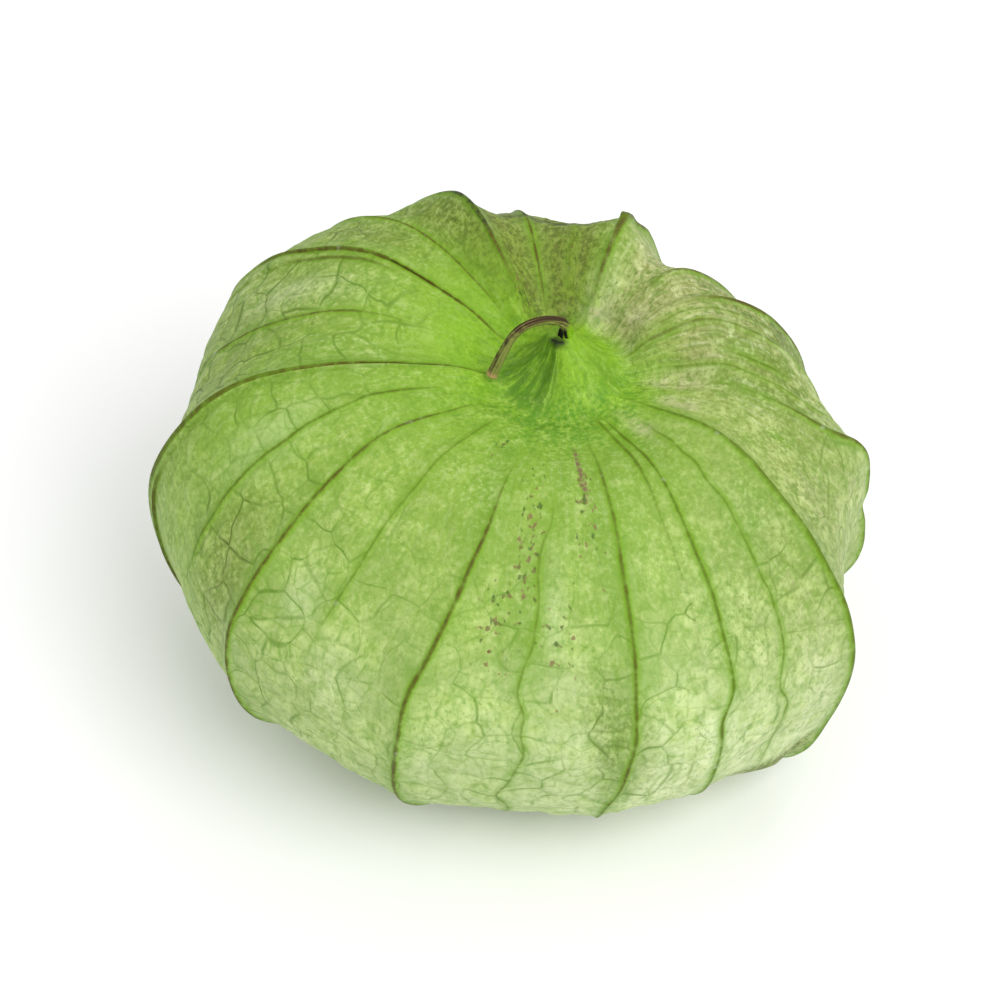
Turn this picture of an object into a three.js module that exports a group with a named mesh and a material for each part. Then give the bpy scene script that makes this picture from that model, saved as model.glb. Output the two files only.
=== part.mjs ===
// A tomatillo in its papery husk, as picked: the inflated, ribbed husk and the short stem it hung by.
// Millimetres, +Z up along the husk's own axis. The husk rests on its pressed-flat underside, and the
// stem is on top. The husk is a lantern: each rib is one curve from the stem collar, over the shoulder
// and down to the foot, and each panel between two ribs is the straight chord between them, blown out
// or sucked in by a share of its width.
import * as THREE from "three";

// The collar that the stem grows from, and the ring-shaped dip round it.
const COLLAR_RADIUS = 1.1;
const COLLAR_TOP = 38.5;
const COLLAR_SKIRT = new THREE.Vector2(2.3, 36.8);
const DIP_RADIUS = 5.2;
const DIP_HEIGHT = 34.2;
const DIP_FOLLOWS_CREST = 0.3; // how much of a high crest's extra height the dip beside it takes on
const LOW_CREST = 35.5;

// Where a rib's curve passes, as shares of its reach and heights.
const CREST_AT = 0.56;
const SHOULDER_AT = 0.84;
const FLANK_AT = 0.95;
const UNDER_HEIGHT = 2.5;
const FOOT_AT = 0.38;

// The underside's drawn-in tip, a shallow pit inside the flat foot.
const PIT_RADIUS = 4.0;
const PIT_DEPTH = 1.6;

const ROWS_PER_SPAN = 3; // rings of vertices between two points of a rib's curve
const DEGREES_PER_COLUMN = 6;

// The ribs, counter-clockwise from +X as seen from above. azimuth and swing are in degrees: swing is how
// far the rib has turned aside by the time it reaches the belt. reach is its largest radius, at the
// height belt. crest is the height of its top, and drop the share of the way down to the belt that its
// shoulder has fallen. under is the share of its reach where it turns in beneath. bulge is the blow-out
// of the panel after it, as a share of that panel's width.
const RIBS = [
  { azimuth: -10.5, swing: 3, reach: 25.9, crest: 35, drop: 0.46, belt: 27, under: 0.7, bulge: -0.03 },
  { azimuth: 9, swing: 0, reach: 23, crest: 38.2, drop: 0.36, belt: 25, under: 0.72, bulge: 0.02 },
  { azimuth: 20, swing: 0, reach: 22.9, crest: 38.5, drop: 0.36, belt: 25, under: 0.72, bulge: -0.06 },
  { azimuth: 37, swing: 0, reach: 21.6, crest: 38.9, drop: 0.42, belt: 25, under: 0.72, bulge: -0.18 },
  { azimuth: 63, swing: 0, reach: 21.6, crest: 41.8, drop: 0.46, belt: 25, under: 0.72, bulge: -0.06 },
  { azimuth: 101.5, swing: 0, reach: 25, crest: 39.5, drop: 0.42, belt: 25, under: 0.72, bulge: -0.1 },
  { azimuth: 122, swing: 10, reach: 27, crest: 42.2, drop: 0.38, belt: 25, under: 0.72, bulge: 0.03 },
  { azimuth: 134, swing: 5, reach: 31, crest: 38.9, drop: 0.28, belt: 25, under: 0.72, bulge: 0.04 },
  { azimuth: 148.5, swing: 1.5, reach: 33.5, crest: 38.7, drop: 0.38, belt: 26, under: 0.72, bulge: 0.05 },
  { azimuth: 169, swing: 0, reach: 32, crest: 37.9, drop: 0.36, belt: 26, under: 0.72, bulge: -0.02 },
  { azimuth: 189.5, swing: -2, reach: 34.6, crest: 37.5, drop: 0.26, belt: 24, under: 0.72, bulge: 0.04 },
  { azimuth: 214, swing: 0, reach: 32.5, crest: 36, drop: 0.42, belt: 22, under: 0.6, bulge: 0.02 },
  { azimuth: 252.5, swing: -8, reach: 30.3, crest: 35.5, drop: 0.42, belt: 21, under: 0.72, bulge: 0.02 },
  { azimuth: 282.5, swing: -1, reach: 28.7, crest: 35.5, drop: 0.42, belt: 21, under: 0.72, bulge: 0.03 },
  { azimuth: 299.5, swing: -1, reach: 29, crest: 35.5, drop: 0.42, belt: 21, under: 0.69, bulge: 0.02 },
  { azimuth: 321.5, swing: 1, reach: 29.9, crest: 36.5, drop: 0.4, belt: 21, under: 0.81, bulge: -0.07 },
];
const SWING_FROM = 4; // the curve's point at which a rib starts to swing, and where it has swung
const SWING_TO = 6;

// The stem's centre line from the collar's top, and its radius along it: a flared foot, a thin neck and
// a cut end.
const STEM_GAP = 0.3;
const STEM_LINE = [
  [0, 0, 0],
  [0, 0, 0.5],
  [-0.5, -0.05, 1.1],
  [-1.6, -0.28, 1.45],
  [-2.9, -0.68, 1.35],
  [-4.05, -1.1, 0.6],
  [-4.95, -1.55, -0.85],
  [-5.8, -2.0, -2.6],
];
const STEM_RADII = [0.75, 0.52, 0.45, 0.43, 0.42, 0.42, 0.43, 0.5];
const STEM_SIDES = 12;
const STEM_STEPS = 24;

// A closed surface through rings of points that all have the same count, with a point at each end.
// The rings run from the first end to the last, and each is counter-clockwise as seen from the first end.
function closedSurface(first, rings, last) {
  const count = rings[0].length;
  const points = [first, ...rings.flat(), last];
  const end = points.length - 1;
  const faces = [];
  for (let i = 0; i < count; i++) {
    const next = (i + 1) % count;
    faces.push(0, 1 + i, 1 + next);
    for (let ring = 0; ring < rings.length - 1; ring++) {
      const here = 1 + ring * count;
      const below = here + count;
      faces.push(here + i, below + i, below + next);
      faces.push(here + i, below + next, here + next);
    }
    const lowest = 1 + (rings.length - 1) * count;
    faces.push(lowest + i, end, lowest + next);
  }
  const geometry = new THREE.BufferGeometry().setFromPoints(points);
  geometry.setIndex(faces);
  geometry.computeVertexNormals();
  return geometry;
}

// A rib's curve in its own upright plane: x is the distance from the axis and y the height.
function ribCurve({ reach, crest, drop, belt, under }) {
  const crestRadius = CREST_AT * reach;
  const dip = DIP_HEIGHT + DIP_FOLLOWS_CREST * (crest - LOW_CREST);
  return new THREE.SplineCurve([
    new THREE.Vector2(COLLAR_RADIUS, COLLAR_TOP),
    COLLAR_SKIRT,
    new THREE.Vector2(DIP_RADIUS, dip),
    new THREE.Vector2(DIP_RADIUS + 0.35 * (crestRadius - DIP_RADIUS), dip + 0.62 * (crest - dip)),
    new THREE.Vector2(crestRadius, crest),
    new THREE.Vector2(SHOULDER_AT * reach, crest - drop * (crest - belt)),
    new THREE.Vector2(reach, belt),
    new THREE.Vector2(FLANK_AT * reach, belt / 2),
    new THREE.Vector2(under * reach, UNDER_HEIGHT),
    new THREE.Vector2(FOOT_AT * reach, 0),
  ]);
}

// The rib's points in space with the outward direction at each, which its panels are blown out along.
function ribPoints(rib) {
  const curve = ribCurve(rib);
  const spans = curve.points.length - 1;
  const steps = spans * ROWS_PER_SPAN;
  const found = [];
  for (let row = 0; row <= steps; row++) {
    const flat = curve.getPoint(row / steps);
    const along = curve.getTangent(row / steps);
    const swung = THREE.MathUtils.smoothstep((row / steps) * spans, SWING_FROM, SWING_TO);
    const turn = THREE.MathUtils.degToRad(rib.azimuth + rib.swing * swung);
    const outward = new THREE.Vector3(Math.cos(turn), Math.sin(turn), 0);
    found.push({
      point: outward.clone().multiplyScalar(flat.x).setZ(Math.max(flat.y, 0)),
      normal: outward.multiplyScalar(-along.y).setZ(along.x).normalize(),
    });
  }
  return found;
}

// A point of the panel between two ribs, a share of the way across it, at one row. The blow-out dies away
// at the bottom, so that the foot stays flat.
function panelPoint(from, to, share, bulge) {
  const width = from.point.distanceTo(to.point);
  const normal = from.normal.clone().lerp(to.normal, share).normalize();
  const point = from.point.clone().lerp(to.point, share);
  const free = THREE.MathUtils.smoothstep(point.z, 0, UNDER_HEIGHT);
  point.addScaledVector(normal, 4 * share * (1 - share) * bulge * width * free);
  return point.setZ(Math.max(point.z, 0));
}

function huskGeometry() {
  const curves = RIBS.map(ribPoints);
  const rings = curves[0].map(() => []);
  RIBS.forEach((rib, i) => {
    const next = (i + 1) % RIBS.length;
    const across = (RIBS[next].azimuth - rib.azimuth + 360) % 360;
    const columns = Math.max(2, Math.round(across / DEGREES_PER_COLUMN));
    for (let column = 0; column < columns; column++) {
      rings.forEach((ring, row) => {
        ring.push(panelPoint(curves[i][row], curves[next][row], column / columns, rib.bulge));
      });
    }
  });
  const foot = rings[rings.length - 1];
  const pitEdge = foot.map((p) => p.clone().setLength(PIT_RADIUS));
  const pitFloor = pitEdge.map((p) => p.clone().multiplyScalar(0.5).setZ(PIT_DEPTH * 0.8));
  const top = new THREE.Vector3(0, 0, COLLAR_TOP);
  const tip = new THREE.Vector3(0, 0, PIT_DEPTH);
  return closedSurface(top, [...rings, pitEdge, pitFloor], tip);
}

function stemGeometry() {
  const base = new THREE.Vector3(0, 0, COLLAR_TOP + STEM_GAP);
  const line = new THREE.CatmullRomCurve3(STEM_LINE.map((p) => new THREE.Vector3(...p).add(base)));
  const frames = line.computeFrenetFrames(STEM_STEPS);
  const spans = STEM_RADII.length - 1;
  const rings = [];
  for (let step = 0; step <= STEM_STEPS; step++) {
    const centre = line.getPointAt(step / STEM_STEPS);
    const span = Math.min(Math.floor((step / STEM_STEPS) * spans), spans - 1);
    const share = (step / STEM_STEPS) * spans - span;
    const radius = THREE.MathUtils.lerp(STEM_RADII[span], STEM_RADII[span + 1], share);
    const ring = [];
    for (let side = 0; side < STEM_SIDES; side++) {
      const turn = (2 * Math.PI * side) / STEM_SIDES;
      const offset = frames.normals[step].clone().multiplyScalar(Math.cos(turn));
      offset.addScaledVector(frames.binormals[step], Math.sin(turn));
      ring.push(offset.multiplyScalar(radius).add(centre));
    }
    rings.push(ring);
  }
  const cutEnd = line.getPointAt(1);
  const cutCentre = line.getPointAt(1).add(line.getTangentAt(1).multiplyScalar(0.12));
  rings.push(rings[STEM_STEPS].map((p) => p.clone().lerp(cutEnd, 0.3).add(cutCentre).sub(cutEnd)));
  return closedSurface(cutCentre, rings.reverse(), line.getPointAt(0));
}

const huskPaper = new THREE.MeshStandardMaterial({ color: 0x9dbb5c, roughness: 0.6, metalness: 0 });
const stemBark = new THREE.MeshStandardMaterial({ color: 0x6a6238, roughness: 0.75, metalness: 0 });

const husk = new THREE.Mesh(huskGeometry(), huskPaper);
husk.name = "husk";
const stem = new THREE.Mesh(stemGeometry(), stemBark);
stem.name = "stem";

// The origin is under the middle of the whole, on the surface that it rests on.
const tomatillo = new THREE.Group();
tomatillo.add(husk, stem);
const middle = new THREE.Box3().setFromObject(tomatillo).getCenter(new THREE.Vector3());
tomatillo.position.set(-middle.x, -middle.y, 0);

export default tomatillo;
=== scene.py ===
import math
from functools import reduce

import bpy
import numpy as np
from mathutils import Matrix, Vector


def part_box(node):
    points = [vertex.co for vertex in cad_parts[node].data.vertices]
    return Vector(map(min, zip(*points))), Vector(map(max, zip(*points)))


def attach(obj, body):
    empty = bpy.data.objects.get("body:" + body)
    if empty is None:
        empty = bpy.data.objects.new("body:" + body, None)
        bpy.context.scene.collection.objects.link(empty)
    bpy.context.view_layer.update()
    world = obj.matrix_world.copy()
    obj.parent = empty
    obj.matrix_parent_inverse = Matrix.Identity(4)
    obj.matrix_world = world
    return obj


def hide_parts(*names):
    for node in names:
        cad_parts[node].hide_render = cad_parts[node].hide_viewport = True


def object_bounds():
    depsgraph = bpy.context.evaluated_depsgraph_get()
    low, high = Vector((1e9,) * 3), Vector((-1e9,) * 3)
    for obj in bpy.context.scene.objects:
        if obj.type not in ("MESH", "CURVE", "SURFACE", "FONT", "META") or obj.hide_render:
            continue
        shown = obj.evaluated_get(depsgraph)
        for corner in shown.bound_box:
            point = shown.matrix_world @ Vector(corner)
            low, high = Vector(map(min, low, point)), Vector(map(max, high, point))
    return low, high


# A tomatillo in its papery husk, as picked: the inflated husk with its ribs and net of veins, and the
# short stem that it hung by. Shapes are worked out in millimetres on the husk's own axis, the line from
# the stem down to the drawn-in tip, with the resting surface at height 0, and then fitted to the frame.

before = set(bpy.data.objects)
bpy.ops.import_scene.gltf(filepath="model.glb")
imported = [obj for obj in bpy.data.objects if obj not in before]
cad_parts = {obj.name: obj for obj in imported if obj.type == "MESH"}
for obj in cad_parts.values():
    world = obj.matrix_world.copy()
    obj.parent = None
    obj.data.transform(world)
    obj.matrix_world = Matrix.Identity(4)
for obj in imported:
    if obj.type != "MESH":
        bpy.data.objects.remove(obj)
cad_box = [list(corner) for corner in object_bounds()]
scene = bpy.context.scene

# ---- sizes and places, in millimetres

# The ribs, counter-clockwise as seen from above and numbered from 0: azimuth and swing in degrees, reach,
# crest height, share of the drop to the belt at the shoulder, belt height, share of the reach where it
# turns in beneath, blow-out of the panel after it, height of the keel, darkness and brownness of its
# line, and the station where the line begins to show.
RIBS = np.array([
    (-10.5, 3, 25.9, 35, 0.46, 27, 0.7, -0.03, 0.45, 0.85, 0.55, 3.6),
    (9, 0, 23, 38.2, 0.36, 25, 0.72, 0.02, 0.3, 0.5, 0.6, 1.6),
    (20, 0, 22.9, 38.5, 0.36, 25, 0.72, -0.06, 0.45, 0.9, 0.75, 3.4),
    (37, 0, 21.6, 38.9, 0.42, 25, 0.72, -0.18, 0.45, 0.85, 0.75, 3.1),
    (63, 0, 21.6, 41.8, 0.46, 25, 0.72, -0.06, 0.5, 0.75, 0.8, 2),
    (101.5, 0, 25, 39.5, 0.42, 25, 0.72, -0.1, 0.2, 0.75, 0.85, 1.8),
    (122, 10, 27, 42.2, 0.38, 25, 0.72, 0.03, 0.45, 1, 0.95, 2.3),
    (134, 5, 31, 38.9, 0.28, 25, 0.72, 0.04, 0.3, 0.8, 0.8, 2.2),
    (148.5, 1.5, 33.5, 38.7, 0.38, 26, 0.72, 0.05, 0.6, 0.85, 0.84, 1.6),
    (169, 0, 32, 37.9, 0.36, 26, 0.72, -0.02, 0.2, 0.8, 0.7, 3.1),
    (189.5, -2, 34.6, 37.5, 0.26, 24, 0.72, 0.04, 0.55, 0.85, 0.62, 1.6),
    (214, 0, 32.5, 36, 0.42, 22, 0.6, 0.02, 0.45, 0.95, 0.66, 2.4),
    (252.5, -8, 30.3, 35.5, 0.42, 21, 0.72, 0.02, 0.4, 0.95, 0.66, 3.2),
    (282.5, -1, 28.7, 35.5, 0.42, 21, 0.72, 0.03, 0.3, 0.85, 0.45, 2.7),
    (299.5, -1, 29, 35.5, 0.42, 21, 0.69, 0.02, 0.3, 0.8, 0.25, 1.9),
    (321.5, 1, 29.9, 36.5, 0.4, 21, 0.81, -0.07, 0.5, 0.85, 0.35, 2.2),
])
BENDS = [  # where a rib turns aside: its number, from station, to station, degrees
    (10, 3.6, 4.6, -2), (12, 6, 7.2, -2.5), (13, 6, 7.2, -4.2), (14, 5.7, 6.1, -2.6),
]
AZIMUTH, SWING, REACH, CREST, DROP, BELT, UNDER, BULGE, KEEL, INK, BROWN, SHOWS_FROM = RIBS.T
PANEL_WIDTH = REACH * np.radians((np.roll(AZIMUTH, -1) - AZIMUTH) % 360)

# The veins between ribs: number of the rib before, share of the panel at the crest, the belt and the
# foot, the stations that it runs between, darkness, brownness, how far it zigzags, height of the keel.
VEINS = [
    (0, 0.34, 0.34, 0.4, 2.6, 6, 0.45, 0.3, 0.25, 0.06),
    (0, 0.56, 0.58, 0.6, 3.7, 5.2, 0.65, 0.2, 0.25, 0),
    (0, 0.72, 0.72, 0.72, 3.7, 5.6, 0, 0, 0.1, 0.45),
    (1, 0.5, 0.52, 0.5, 2.6, 6, 0.4, 0.6, 0.2, 0.06),
    (4, 0.52, 0.5, 0.5, 2.2, 6.5, 0.32, 0.7, 0.5, 0.06),
    (8, 0.13, 0.16, 0.2, 3.4, 5.2, 0.5, 0.85, 0.15, 0.06),
    (10, 0.01, 0.04, 0.2, 5.4, 7.6, 0.8, 0.6, 0, 0),
    (10, 0.5, 0.57, 0.55, 2.8, 6.3, 0.7, 0.4, 0.4, 0.06),
    (11, 0.46, 0.44, 0.5, 2.4, 5.9, 0.5, 0.15, 0.3, 0.06),
    (12, 0.46, 0.53, 0.5, 3.6, 9, 0.5, 0.1, 0.75, 0.06),
    (13, 0.74, 0.74, 0.74, 2.1, 4.4, 0.75, 0.35, 0.1, 0.12),
    (14, 0.5, 0.48, 0.5, 2.8, 7.5, 0.55, 0.15, 0.6, 0.06),
]
LINE_ENDS = {8: 4.9, 10: 5.7}  # ribs whose line is nearly lost from that station on
FOLDS = [  # local swells and hollows: azimuth and half width in degrees, station and half length, height
    (63, 1.4, 3.95, 0.14, 0.35), (61, 6, 4.4, 0.35, -0.4), (-7.5, 5, 6.42, 0.13, -0.7),
    (-7.5, 8, 6.8, 0.42, 1.4), (332, 9, 7.6, 1, 1.3), (309, 8, 7.35, 0.6, 0.7),
    (305, 12, 6.75, 0.3, -0.3), (130, 4, 4.6, 0.5, -0.6), (150, 5, 5, 0.5, 0.3),
    (20, 16, 3.2, 0.9, 0.6), (352, 12, 3.3, 0.9, -0.5),
]

# Stations along a rib: 0 collar, 2 the dip round it, 4 crest, 6 belt, 8 where it turns in beneath,
# 9 foot, 12 the tip beneath.
COLLAR_RADIUS, COLLAR_TOP = 1.1, 38.5
SKIRT_RADIUS, SKIRT_TOP = 2.3, 36.8
DIP_RADIUS, DIP_HEIGHT = 5.2, 34.2
DIP_FOLLOWS_CREST, LOW_CREST = 0.3, 35.5
CREST_AT, SHOULDER_AT, FLANK_AT, FOOT_AT, INNER_FOOT_AT, PUCKER_AT = 0.56, 0.84, 0.95, 0.38, 0.22, 0.09
UNDER_HEIGHT, PUCKER_HEIGHT, TIP_HEIGHT = 2.5, 0.9, 1.6
SWING_FROM, SWING_TO = 4, 6
CREST_STATION, BELT_STATION, FOOT_STATION, TIP_STATION = 4, 6, 9, 12
WANDER = 0.55  # about how far a rib strays, in degrees

ROWS, COLUMNS = 200, 478  # of the husk's vertices, about
BESIDE_LINE = np.array([0.11, 0.24, 0.44, 0.8])  # from a line to the columns that crowd beside it
CROWDED_SHARE = 0.22  # of a narrow gap, that those columns may take at either end

KEEL_SPREAD = 1.2  # how far to either side a keel reaches
KEEL_SINKS = 0.25  # how far panels lie under the plain surface, so that the keels stand about on it
CORD_HALF_WIDTH, CORD_HEIGHT = 0.24, 0.11  # of the raised cord on every line
CUSHION_HEIGHT = 0.07  # of the net's cells
CELL, SMALL_CELL = 3.1, 1.45  # how wide the net's cells are
NO_LINE = 9  # a distance past which nothing is drawn


# ---- shapes worked out as arrays


def ease(values, low, high):
    """0 below low, 1 above high, and a smooth step between them."""
    share = np.clip((values - low) / (high - low), 0, 1)
    return share * share * (3 - 2 * share)


def unit(vectors):
    """Vectors made one long."""
    return vectors / np.maximum(np.linalg.norm(vectors, axis=-1, keepdims=True), 1e-9)


def joined(*parts):
    """Numbers or arrays, spread to one shape, as the components of vectors."""
    return np.stack(np.broadcast_arrays(*parts), axis=-1)


def bump(values, middle, half):
    """1 at the middle, easing to 0 at half a width to either side of it."""
    return 1 - ease(np.abs(values - middle), 0, half)


def turned(azimuth, middle):
    """Degrees from the middle azimuth, from -180 to 180."""
    return (azimuth - middle + 180) % 360 - 180


def sector(azimuth, middle, half):
    """1 at the middle azimuth, easing to 0 at half a width to either side, all in degrees."""
    return bump(turned(azimuth, middle), 0, half)


def patch(azimuth, station, middle, half, at, length, strength):
    """A soft-edged patch: its strength at the middle azimuth and the station at, easing to 0 at half a
    width or half a length from there."""
    return strength * sector(azimuth, middle, half) * bump(station, at, length)


def patches(rows, azimuth, station):
    """The strongest of several patches at each point."""
    return reduce(np.maximum, [patch(azimuth, station, *row) for row in rows], 0 * azimuth)


def soft_noise(points, size, seed):
    """Noise from -1 to 1: random values on a cubic lattice of that size, eased from corner to corner."""
    lattice = 64
    table = np.random.default_rng(seed).uniform(-1, 1, (lattice,) * 3)
    cell = np.floor(points / size).astype(int)
    part = ease(points / size - cell, 0, 1)
    total = np.zeros(points.shape[:-1])
    for corner in np.ndindex(2, 2, 2):
        weight = np.prod(np.where(corner, part, 1 - part), axis=-1)
        x, y, z = np.moveaxis((cell + corner) % lattice, -1, 0)
        total += weight * table[x, y, z]
    return total


def spline(points, stations):
    """Uniform Catmull-Rom curves through points (curves, points, axes), at stations counted in points."""
    points = np.concatenate([points[:, :1], points, points[:, -1:]], axis=1)
    first = np.clip(np.floor(stations).astype(int), 0, points.shape[1] - 4)
    part = (stations - first)[None, :, None]
    before, here, after, beyond = (points[:, first + k] for k in range(4))
    bend = 2 * before - 5 * here + 4 * after - beyond
    curl = 3 * here - before - 3 * after + beyond
    return 0.5 * (2 * here + (after - before) * part + bend * part**2 + curl * part**3)


def rib_outlines():
    """Control points (ribs, stations, radius and height) of each rib's curve in its own upright plane."""
    dip = DIP_HEIGHT + DIP_FOLLOWS_CREST * (CREST - LOW_CREST)
    crest_radius = CREST_AT * REACH
    rows = [
        (COLLAR_RADIUS, COLLAR_TOP),
        (SKIRT_RADIUS, SKIRT_TOP),
        (DIP_RADIUS, dip),
        (DIP_RADIUS + 0.35 * (crest_radius - DIP_RADIUS), dip + 0.62 * (CREST - dip)),
        (crest_radius, CREST),
        (SHOULDER_AT * REACH, CREST - DROP * (CREST - BELT)),
        (REACH, BELT),
        (FLANK_AT * REACH, BELT / 2),
        (UNDER * REACH, UNDER_HEIGHT),
        (FOOT_AT * REACH, 0),
        (INNER_FOOT_AT * REACH, 0),
        (PUCKER_AT * REACH, PUCKER_HEIGHT),
        (0, TIP_HEIGHT),
    ]
    return np.array([np.broadcast_arrays(*row, REACH)[:2] for row in rows]).transpose(2, 0, 1)


def even_stations(count):
    """Stations of rows that are evenly spaced along the mean rib."""
    fine = np.linspace(0, TIP_STATION, 2000)
    mean = spline(rib_outlines().mean(axis=0, keepdims=True), fine)[0]
    run = np.concatenate([[0], np.cumsum(np.linalg.norm(np.diff(mean, axis=0), axis=1))])
    return np.interp(np.linspace(0, run[-1], count), run, fine)


def rib_curves(stations):
    """Each rib's points and outward directions, both (ribs, rows, 3): its outline stood up at its azimuth,
    turned by its swing from the crest to the flank, and strayed a little by noise."""
    flat = spline(rib_outlines(), stations)
    slope = np.gradient(flat, axis=1)
    ribs = flat.shape[0]
    place = joined(stations[None], 7.3 * np.arange(ribs)[:, None], 0)
    free = ease(stations, 2.5, 4) * (1 - ease(stations, 9, 11))
    stray = WANDER * free * (soft_noise(place, 0.9, 3) + 0.5 * soft_noise(place, 0.35, 4))
    for rib, start, end, degrees in BENDS:
        stray[rib] += degrees * ease(stations, start, end)
    turn = np.radians(AZIMUTH[:, None] + SWING[:, None] * ease(stations, SWING_FROM, SWING_TO) + stray)
    outward = joined(np.cos(turn), np.sin(turn))
    points = np.concatenate([flat[..., :1] * outward, np.maximum(flat[..., 1:], 0)], axis=-1)
    normals = np.concatenate([-slope[..., 1:] * outward, slope[..., :1]], axis=-1)
    return points, unit(normals)


def panel_points(ribs, normals, panel, share):
    """Points of panels between ribs: the chord from rib to rib, blown out by a share of its width. panel is
    one rib number a column and share is (rows, columns)."""
    after = (panel + 1) % len(RIBS)
    ribs, normals, across = ribs.transpose(1, 0, 2), normals.transpose(1, 0, 2), share[..., None]
    start, end = ribs[:, panel], ribs[:, after]
    width = np.linalg.norm(end - start, axis=-1, keepdims=True)
    normal = unit((1 - across) * normals[:, panel] + across * normals[:, after])
    points = (1 - across) * start + across * end
    free = ease(points[..., 2:], 0, UNDER_HEIGHT)
    points = points + 4 * across * (1 - across) * BULGE[panel][:, None] * width * free * normal
    points[..., 2] = np.maximum(points[..., 2], 0)
    return points


class Lines:
    """Every rib and vein in order round the husk: the panel that it starts or crosses, its share across the
    panel by row, how far it is faded in by row, its darkness, its brownness and its keel by row."""

    def __init__(self, stations):
        found = []
        beneath = 1 - 0.5 * ease(stations, 9, 11)
        for index in range(len(RIBS)):
            rib_fade = ease(stations, SHOWS_FROM[index] - 0.3, SHOWS_FROM[index] + 1.6) * beneath
            end = LINE_ENDS.get(index, TIP_STATION)
            rib_fade = rib_fade * (1 - 0.75 * ease(stations, end, end + 0.5))
            keel = KEEL[index] + 0 * stations
            found.append((index, 0 * stations, rib_fade, INK[index], BROWN[index], keel))
            for number, vein in enumerate(row for row in VEINS if row[0] == index):
                crest, belt, foot, start, end, ink, brown, zigzag, keel = vein[1:]
                stops = (CREST_STATION, BELT_STATION, FOOT_STATION)
                share = np.interp(stations, stops, (crest, belt, foot))
                place = joined(stations, 31.7 * index + 5.1 * number, 0)
                sway = soft_noise(place, 0.45, 5) + 0.4 * soft_noise(place, 0.2, 6)
                share = share + zigzag / PANEL_WIDTH[index] * sway
                fade = ease(stations, start, start + 0.8) * (1 - ease(stations, end - 0.8, end))
                found.append((index, share, fade, ink, brown, keel * fade))
        self.panel, self.share, self.fade, self.ink, self.brown, self.keel = map(np.array, zip(*found))
        self.count = len(found)
        self.after = (np.arange(self.count) + 1) % self.count
        same_panel = (self.panel[self.after] == self.panel)[:, None]
        self.share_after = np.where(same_panel, self.share[self.after], 1)


def column_shares(width, middle):
    """Where a gap's columns stand, as shares of it (rows, columns), with its end as the last: a few crowd
    beside the line at either end, and the middle ones are even between them."""
    across = width[:, None]
    tight = BESIDE_LINE * np.minimum(1, CROWDED_SHARE * across / BESIDE_LINE[-1]) / across
    edge = tight[:, -1:]
    inner = edge + np.linspace(0, 1, middle + 2)[1:-1] * (1 - 2 * edge)
    return np.concatenate([0 * edge, tight, inner, 1 - tight[:, ::-1], 1 + 0 * edge], axis=1)


class Columns:
    """The husk's columns of vertices: gap, panel and share of it, the gap's width, the millimetres to the
    lines before and behind, and before_next, the next column's before but still measured in this gap."""

    def __init__(self, lines, ribs):
        chord = np.linalg.norm(ribs - np.roll(ribs, -1, axis=0), axis=-1)[lines.panel]
        width = np.maximum((lines.share_after - lines.share) * chord, 1e-4)
        widest = width.max(axis=1)
        spare = COLUMNS - lines.count * (1 + 2 * len(BESIDE_LINE))
        middles = np.maximum(2, np.round(spare * widest / widest.sum())).astype(int)
        shares = [column_shares(*gap) for gap in zip(width, middles)]
        self.gap = np.repeat(np.arange(lines.count), [part.shape[1] - 1 for part in shares])
        here = np.concatenate([part[:, :-1] for part in shares], axis=1)
        onward = np.concatenate([part[:, 1:] for part in shares], axis=1)
        self.panel = lines.panel[self.gap]
        self.share = lines.share[self.gap].T + here * (lines.share_after - lines.share)[self.gap].T
        self.width = width[self.gap].T
        self.before, self.before_next = here * self.width, onward * self.width
        self.behind = self.width - self.before


def outward_normals(grid):
    """Unit normals of a grid closed round its columns: the slope down the rows crossed with the slope round
    the columns."""
    down = np.gradient(grid, axis=0)
    onward = np.roll(grid, -1, axis=1) - np.roll(grid, 1, axis=1)
    return unit(np.cross(down, onward))


# ---- the net of veins


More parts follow.
